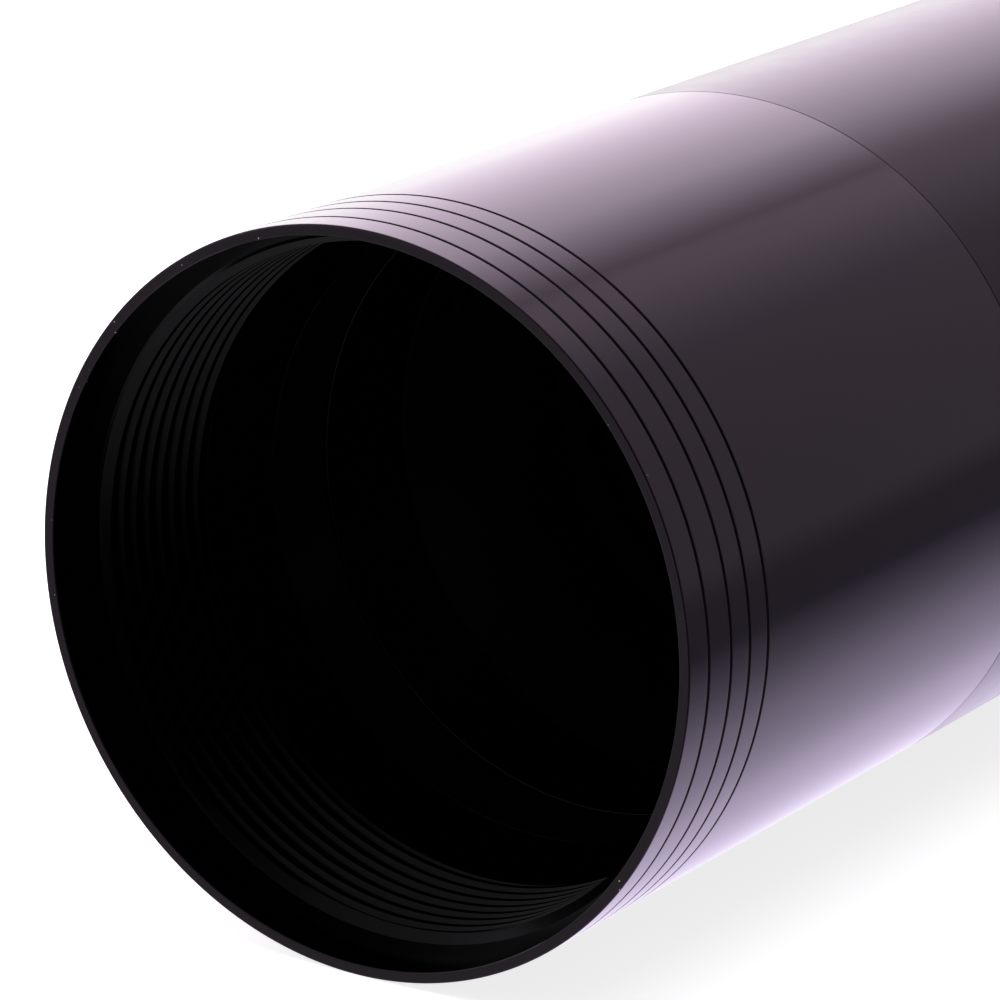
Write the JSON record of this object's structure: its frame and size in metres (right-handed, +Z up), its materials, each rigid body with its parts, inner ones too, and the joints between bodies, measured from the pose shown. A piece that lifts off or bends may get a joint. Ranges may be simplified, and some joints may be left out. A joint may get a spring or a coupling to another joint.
{
  "type": "barlow lens",
  "caption": "Black tubular Barlow lens with an internally threaded eyepiece mouth, a side thumb screw, baffles and a doublet in an unscrewing nosepiece.",
  "frame": {"origin": "centre of the base of the object's bounding box, on the surface that the tube lies on", "axes": "+Y along the tube from the eyepiece mouth to the nosepiece end, +Z up, +X to the side away from the thumb screw"},
  "size_m": [0.0428, 0.116, 0.0361],
  "materials": {
    "gloss_black_anodised": "gloss black anodised aluminium",
    "satin_black_anodised": "finely turned satin black anodised aluminium",
    "matt_black_anodised": "matt black anodised aluminium",
    "chrome": "bright chrome over turned brass",
    "steel": "dark turned steel",
    "blackened_brass": "chemically blackened brass",
    "nylon": "natural nylon",
    "rubber": "black rubber",
    "glass": "coated optical glass"
  },
  "bodies": {
    "tube": {"eyepiece_sleeve": "gloss_black_anodised", "main_tube": "satin_black_anodised", "compression_ring": "blackened_brass", "thumb_screw_bush": "blackened_brass", "sleeve_lock_screw": "steel", "upper_baffle": "matt_black_anodised", "baffle_lock_ring": "matt_black_anodised", "lower_baffle": "matt_black_anodised", "baffle_spacer": "matt_black_anodised"},
    "clamp_pad": {"clamp_pad": "nylon"},
    "thumb_screw": {"thumb_screw": "steel", "thumb_screw_knob": "gloss_black_anodised"},
    "nosepiece_seal": {"nosepiece_seal": "rubber"},
    "nosepiece": {"nosepiece": "chrome", "lens_cell": "matt_black_anodised", "cell_lock_ring": "matt_black_anodised", "lens_retaining_ring": "matt_black_anodised", "lens_seat_washer": "nylon", "biconcave_element": "glass", "planoconvex_element": "glass"}
  },
  "joints": [
    {"name": "clamp_travel", "type": "slide", "parent": "tube", "child": "clamp_pad", "axis": [-0.8409, 0, -0.5413], "range_m": [-0.0002, 0.0021]},
    {"name": "thumb_screw_turn", "type": "hinge", "parent": "clamp_pad", "child": "thumb_screw", "pos_m": [-0.01341, -0.04, 0.00717], "axis": [-0.8409, 0, -0.5413], "range_deg": [-103, 1080.5]},
    {"name": "nosepiece_travel", "type": "slide", "parent": "tube", "child": "nosepiece_seal", "axis": [0, 1, 0], "range_m": [0, 0.006]},
    {"name": "nosepiece_turn", "type": "hinge", "parent": "nosepiece_seal", "child": "nosepiece", "pos_m": [0.00341, 0.02815, 0.018], "axis": [0, 1, 0], "range_deg": [-0.5, 2880.5]}
  ],
  "couplings": [
    {"joint": "thumb_screw_turn", "follows": "clamp_travel", "rad_per_m": 8976},
    {"joint": "nosepiece_turn", "follows": "nosepiece_travel", "rad_per_m": 8377.6}
  ]
}
